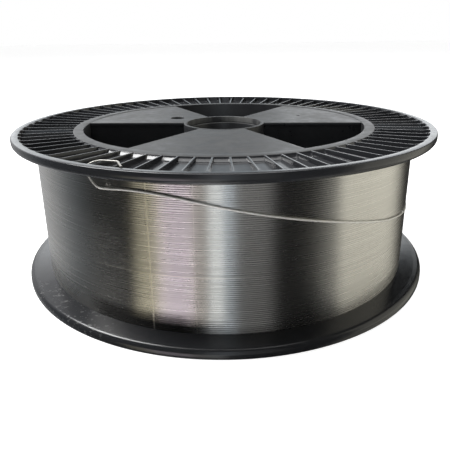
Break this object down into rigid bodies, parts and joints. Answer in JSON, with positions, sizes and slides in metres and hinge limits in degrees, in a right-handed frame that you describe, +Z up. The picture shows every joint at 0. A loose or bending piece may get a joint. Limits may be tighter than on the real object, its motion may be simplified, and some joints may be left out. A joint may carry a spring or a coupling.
{
  "type": "mig welding wire spool",
  "caption": "Black ribbed plastic spool, full of fine bright welding wire, lying flat on one flange with the wire's end hooked over its rim.",
  "frame": {"origin": "on the bore axis, at the level of the lower flange's outer face", "axes": "+Z up along the bore axis, from the lower flange to the upper one; +Y through the middle of a window of the upper flange"},
  "size_m": [0.3, 0.3, 0.1037],
  "materials": {
    "spool_plastic": "injection-moulded black plastic, satin to glossy, dusty in places",
    "wound_wire": "bright drawn stainless wire in close turns",
    "loose_wire": "bright drawn stainless wire"
  },
  "bodies": {
    "root": {"spool": "spool_plastic", "wire_winding": "wound_wire", "wire_tail": "loose_wire"}
  },
  "joints": []
}
